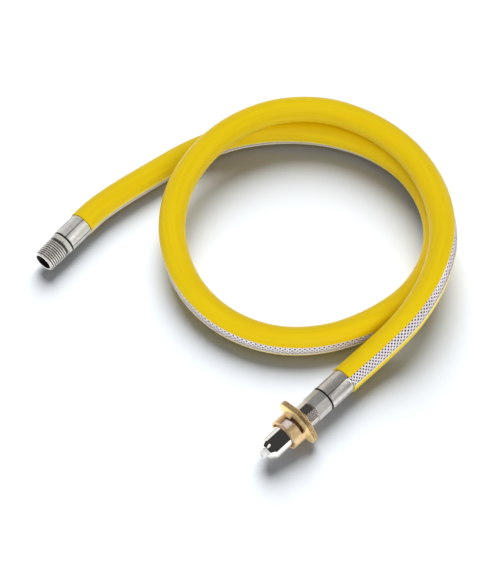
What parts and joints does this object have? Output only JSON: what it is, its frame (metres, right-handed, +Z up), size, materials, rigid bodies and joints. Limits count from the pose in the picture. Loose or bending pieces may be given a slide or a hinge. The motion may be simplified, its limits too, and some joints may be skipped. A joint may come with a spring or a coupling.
{
  "type": "flexible gas hose",
  "caption": "Flexible gas hose: yellow covered braided metal hose laid in a loop, with a taper-threaded nipple at one end and a bayonet plug with a turning winged ring at the other.",
  "frame": {"origin": "on the surface that the hose lies on, below the middle of the box round the two end fittings", "axes": "+Z up from the surface; the hose lies flat in X and Y, seen in the picture with +X to the right and +Y away from the viewer"},
  "size_m": [0.3674, 0.353, 0.0495],
  "materials": {
    "cover": "glossy yellow flexible cover with a clear inspection strip",
    "braid": "woven steel wire",
    "liner": "corrugated stainless steel",
    "ferrule_steel": "nickel-plated, crimped",
    "nickel": "bright nickel plate",
    "brass": "cast and machined brass",
    "rubber": "black seal rubber",
    "white_plastic": "white moulded plastic"
  },
  "bodies": {
    "hose": {"hose_cover": "cover", "wire_braid": "braid", "corrugated_liner": "liner", "thread_ferrule": "ferrule_steel", "thread_gasket": "rubber", "threaded_nipple": "nickel", "plug_ferrule": "ferrule_steel", "plug_gasket": "rubber", "plug_tail": "nickel", "thrust_washer": "white_plastic", "plug_nose": "nickel", "nose_seal": "rubber", "nozzle_tip": "white_plastic"},
    "ring": {"bayonet_ring": "brass"}
  },
  "joints": [
    {"name": "ring_turn", "type": "hinge", "parent": "hose", "child": "ring", "pos_m": [0.08568, -0.09073, 0.01461], "axis": [-0.7169, -0.6972, 0], "continuous": true}
  ]
}
